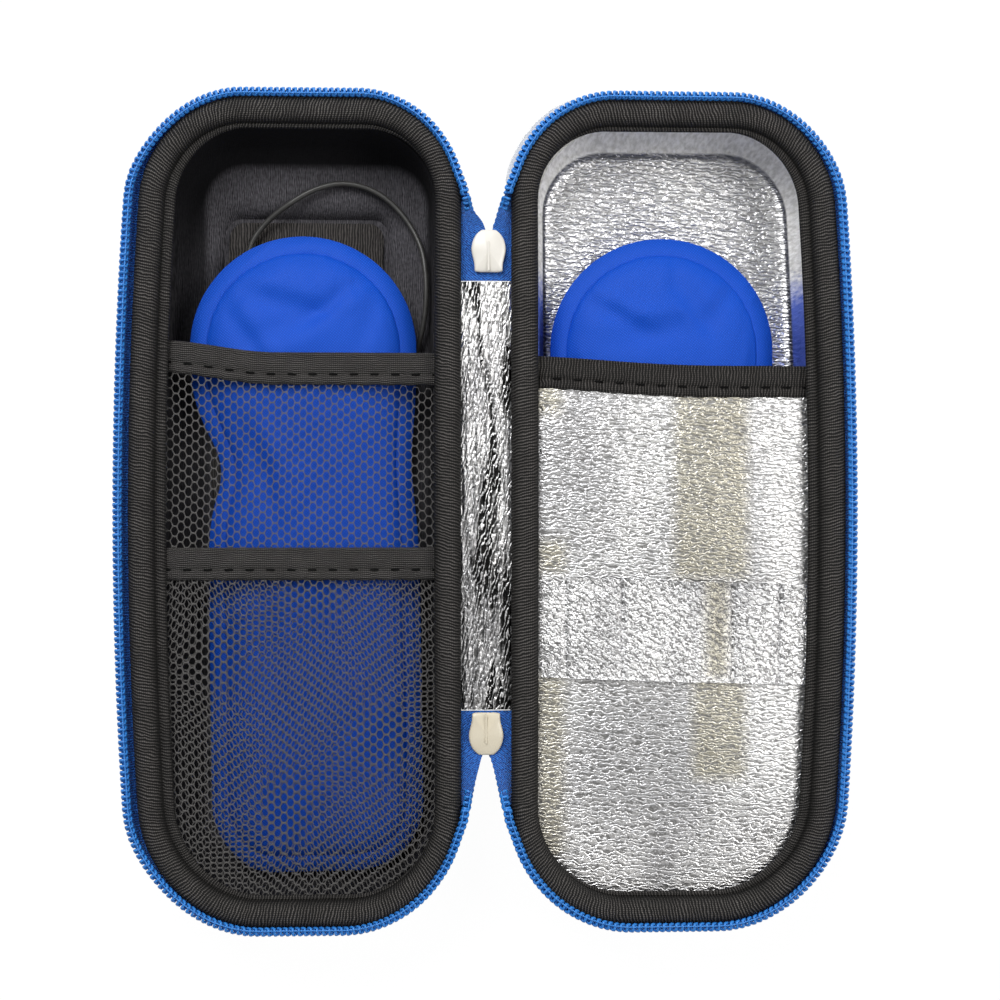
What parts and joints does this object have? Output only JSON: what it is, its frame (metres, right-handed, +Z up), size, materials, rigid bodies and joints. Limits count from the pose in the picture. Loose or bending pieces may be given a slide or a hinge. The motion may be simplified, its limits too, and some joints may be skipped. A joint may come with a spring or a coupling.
{
  "type": "insulin cooling case",
  "caption": "Open clamshell cooling case for insulin pens: moulded halves on a cloth hinge, net and foil pockets, gel packs, zip and a thermometer with a sensor lead.",
  "frame": {"origin": "centre of the case's footprint as it lies open, on the plane that its two outer panels rest on", "axes": "+Z up out of the open trays, +Y along the halves towards the end with the free pack heads, +X from the netted half to the foil half"},
  "size_m": [0.1804, 0.2034, 0.0283],
  "materials": {
    "outer_skin": "pale woven cloth over moulded foam",
    "black_lining": "brushed black knit",
    "binding": "ribbed grosgrain tape",
    "net": "open knitted net",
    "zip_tape": "woven zip tape",
    "zip_coil": "nylon coil",
    "enamel": "white enamel on die-cast metal",
    "foil": "silver foil laminated on cloth, finely creased",
    "pack_cloth": "coated blue nylon",
    "module_body": "moulded",
    "display_window": "clear acrylic",
    "display_panel": "liquid crystal panel, blank",
    "circuit_board": "solder mask",
    "steel": "plain",
    "lead": "matte sheath"
  },
  "bodies": {
    "front_case": {"front_shell": "outer_skin", "front_lining": "black_lining", "recess_cloth": "black_lining", "front_binding": "binding", "front_zip_tape": "zip_tape", "front_zip_coil": "zip_coil", "front_hinge_flap": "foil", "tall_net_pocket": "net", "tall_pocket_band": "binding", "short_net_pocket": "net", "short_pocket_band": "binding", "thermometer_bezel": "module_body", "thermometer_housing": "module_body", "display_window": "display_window", "display_panel": "display_panel", "circuit_board": "circuit_board", "coin_cell": "steel", "battery_cover": "module_body", "lead_gland": "lead", "sensor_lead": "lead", "sensor_probe": "steel"},
    "mode_button": {"mode_button": "module_body"},
    "front_pack": {"front_ice_pack": "pack_cloth"},
    "hinge_strip": {"hinge_foil": "foil", "hinge_cover": "outer_skin", "zip_join_top": "zip_tape", "zip_join_bottom": "zip_tape"},
    "slider_top": {"slider_top": "enamel"},
    "pull_top": {"pull_top": "enamel"},
    "slider_bottom": {"slider_bottom": "enamel"},
    "pull_bottom": {"pull_bottom": "enamel"},
    "back_case": {"back_shell": "outer_skin", "back_foil_liner": "foil", "back_binding": "binding", "back_zip_tape": "zip_tape", "back_zip_coil": "zip_coil", "back_hinge_flap": "foil", "foil_pocket": "foil", "foil_pocket_band": "binding", "pen_loops": "foil"},
    "back_pack": {"back_ice_pack": "pack_cloth"}
  },
  "joints": [
    {"name": "front_fold", "type": "hinge", "parent": "front_case", "child": "hinge_strip", "pos_m": [-0.0046, 0, 0.024], "axis": [0, -1, 0], "range_deg": [0, 90]},
    {"name": "back_fold", "type": "hinge", "parent": "hinge_strip", "child": "back_case", "pos_m": [0.0046, 0, 0.024], "axis": [0, -1, 0], "range_deg": [0, 90]},
    {"name": "button_press", "type": "slide", "parent": "front_case", "child": "mode_button", "axis": [0, 0, 1], "range_m": [0, 0.0005], "stiffness_N_per_m": 1500},
    {"name": "front_pack_slide", "type": "slide", "parent": "front_case", "child": "front_pack", "axis": [0, 1, 0], "range_m": [0, 0.012]},
    {"name": "back_pack_slide", "type": "slide", "parent": "back_case", "child": "back_pack", "axis": [0, 1, 0], "range_m": [0, 0.02]},
    {"name": "slider_top_slide", "type": "slide", "parent": "hinge_strip", "child": "slider_top", "axis": [0, 1, 0], "range_m": [-0.002, 0.006]},
    {"name": "pull_top_swing", "type": "hinge", "parent": "slider_top", "child": "pull_top", "pos_m": [0.0006, 0.0632, 0.02055], "axis": [1, 0, 0], "range_deg": [-85, 85]},
    {"name": "slider_bottom_slide", "type": "slide", "parent": "hinge_strip", "child": "slider_bottom", "axis": [0, -1, 0], "range_m": [0, 0.006]},
    {"name": "pull_bottom_swing", "type": "hinge", "parent": "slider_bottom", "child": "pull_bottom", "pos_m": [0, -0.0539, 0.02055], "axis": [1, 0, 0], "range_deg": [-85, 85]}
  ]
}
